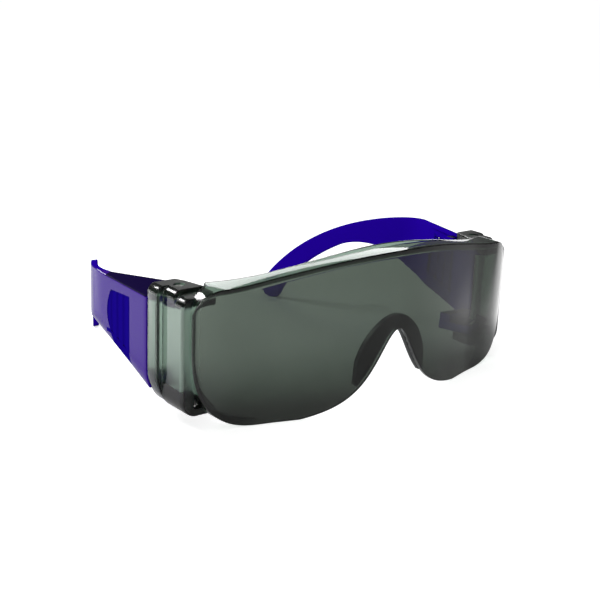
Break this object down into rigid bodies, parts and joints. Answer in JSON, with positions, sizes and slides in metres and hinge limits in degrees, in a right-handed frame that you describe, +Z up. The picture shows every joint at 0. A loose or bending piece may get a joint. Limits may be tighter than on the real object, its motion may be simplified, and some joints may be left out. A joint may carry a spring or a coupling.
{
  "type": "welding glasses",
  "caption": "Wraparound tinted shield with side windows, a soft nose saddle and two hooked temples that fold inwards on vertical hinge pins.",
  "frame": {"origin": "middle of the footprint, on the surface that the lens lobes and the temple tips stand on", "axes": "X across the face, mirror plane at X = 0; +Y from the lens back towards the ears; +Z up"},
  "size_m": [0.1566, 0.1352, 0.056],
  "materials": {
    "tinted_shield": "polished green-grey tinted polycarbonate, see-through",
    "nose_rubber": "soft matt black rubber",
    "violet_temple": "glossy translucent blue-violet plastic",
    "hinge_pin": "plain turned steel"
  },
  "bodies": {
    "shield": {"visor": "tinted_shield", "nose_saddle": "nose_rubber", "right_upper_pin": "hinge_pin", "right_lower_pin": "hinge_pin", "left_upper_pin": "hinge_pin", "left_lower_pin": "hinge_pin"},
    "right_arm": {"right_temple": "violet_temple"},
    "left_arm": {"left_temple": "violet_temple"}
  },
  "joints": [
    {"name": "right_fold", "type": "hinge", "parent": "shield", "child": "right_arm", "pos_m": [0.0686, -0.0351, 0.025], "axis": [0, 0, 1], "range_deg": [0, 84]},
    {"name": "left_fold", "type": "hinge", "parent": "shield", "child": "left_arm", "pos_m": [-0.0686, -0.0351, 0.025], "axis": [0, 0, -1], "range_deg": [0, 72]}
  ]
}
